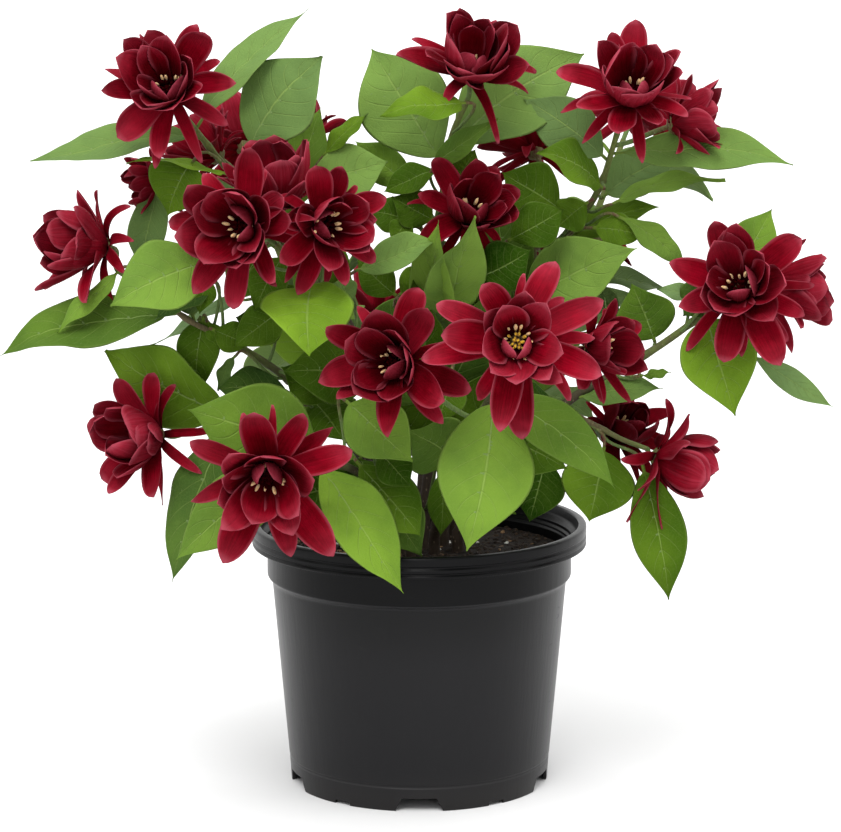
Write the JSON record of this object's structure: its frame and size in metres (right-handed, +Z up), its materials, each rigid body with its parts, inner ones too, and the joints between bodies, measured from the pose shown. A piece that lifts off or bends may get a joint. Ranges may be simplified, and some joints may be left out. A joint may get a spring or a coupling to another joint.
{
  "type": "potted carolina allspice",
  "caption": "Bushy Carolina allspice shrub with dark red, many-tepalled flowers and pointed green leaves, in a squat black nursery pot with a rolled lip and a notched foot.",
  "frame": {"origin": "on the ground, at the middle of the pot's foot", "axes": "+Z up, +X along the plant's widest direction, -Y towards its front"},
  "size_m": [0.5558, 0.4174, 0.5276],
  "materials": {
    "pot_plastic": "satin",
    "potting_mix": "matte",
    "cane_bark": "matte",
    "green_twig": "satin",
    "leaf_blade": "satin",
    "tepal": "matte"
  },
  "bodies": {
    "root": {"pot": "pot_plastic", "potting_mix": "potting_mix", "cane_back": "cane_bark", "cane_back_left": "cane_bark", "cane_back_right": "cane_bark", "cane_centre": "cane_bark", "cane_front": "cane_bark", "cane_front_left": "cane_bark", "cane_left": "cane_bark", "cane_low_front": "cane_bark", "cane_low_right": "cane_bark", "cane_right": "cane_bark", "cane_top_left": "cane_bark", "twig_left": "green_twig", "twig_low_left": "green_twig", "twig_low_right": "green_twig", "leaf_back_left": "leaf_blade", "leaf_back_right": "leaf_blade", "leaf_centre_upright": "leaf_blade", "leaf_front_broad": "leaf_blade", "leaf_front_right": "leaf_blade", "leaf_left_hanging": "leaf_blade", "leaf_left_long": "leaf_blade", "leaf_left_low": "leaf_blade", "leaf_low_front_left": "leaf_blade", "leaf_low_right_hanging": "leaf_blade", "leaf_mid_left": "leaf_blade", "leaf_pot_front": "leaf_blade", "leaf_right_broad": "leaf_blade", "leaf_right_hanging": "leaf_blade", "leaf_right_long": "leaf_blade", "leaf_right_upper": "leaf_blade", "leaf_top_centre_left": "leaf_blade", "leaf_top_centre_right": "leaf_blade", "leaf_top_left_broad": "leaf_blade", "leaf_top_left_side": "leaf_blade", "leaf_top_left_upper": "leaf_blade", "flower_back": "tepal", "flower_back_left": "tepal", "flower_back_low": "tepal", "flower_back_right": "tepal", "flower_back_top_left": "tepal", "flower_back_top_right": "tepal", "flower_behind_front": "tepal", "flower_centre": "tepal", "flower_far_right": "tepal", "flower_front": "tepal", "flower_left": "tepal", "flower_low_front": "tepal", "flower_low_left": "tepal", "flower_low_right": "tepal", "flower_low_right_inner": "tepal", "flower_right": "tepal", "flower_top_centre": "tepal", "flower_top_left": "tepal", "flower_top_right": "tepal", "flower_top_right_side": "tepal", "flower_upper_centre": "tepal", "flower_upper_left": "tepal", "flower_upper_left_inner": "tepal"}
  },
  "joints": []
}
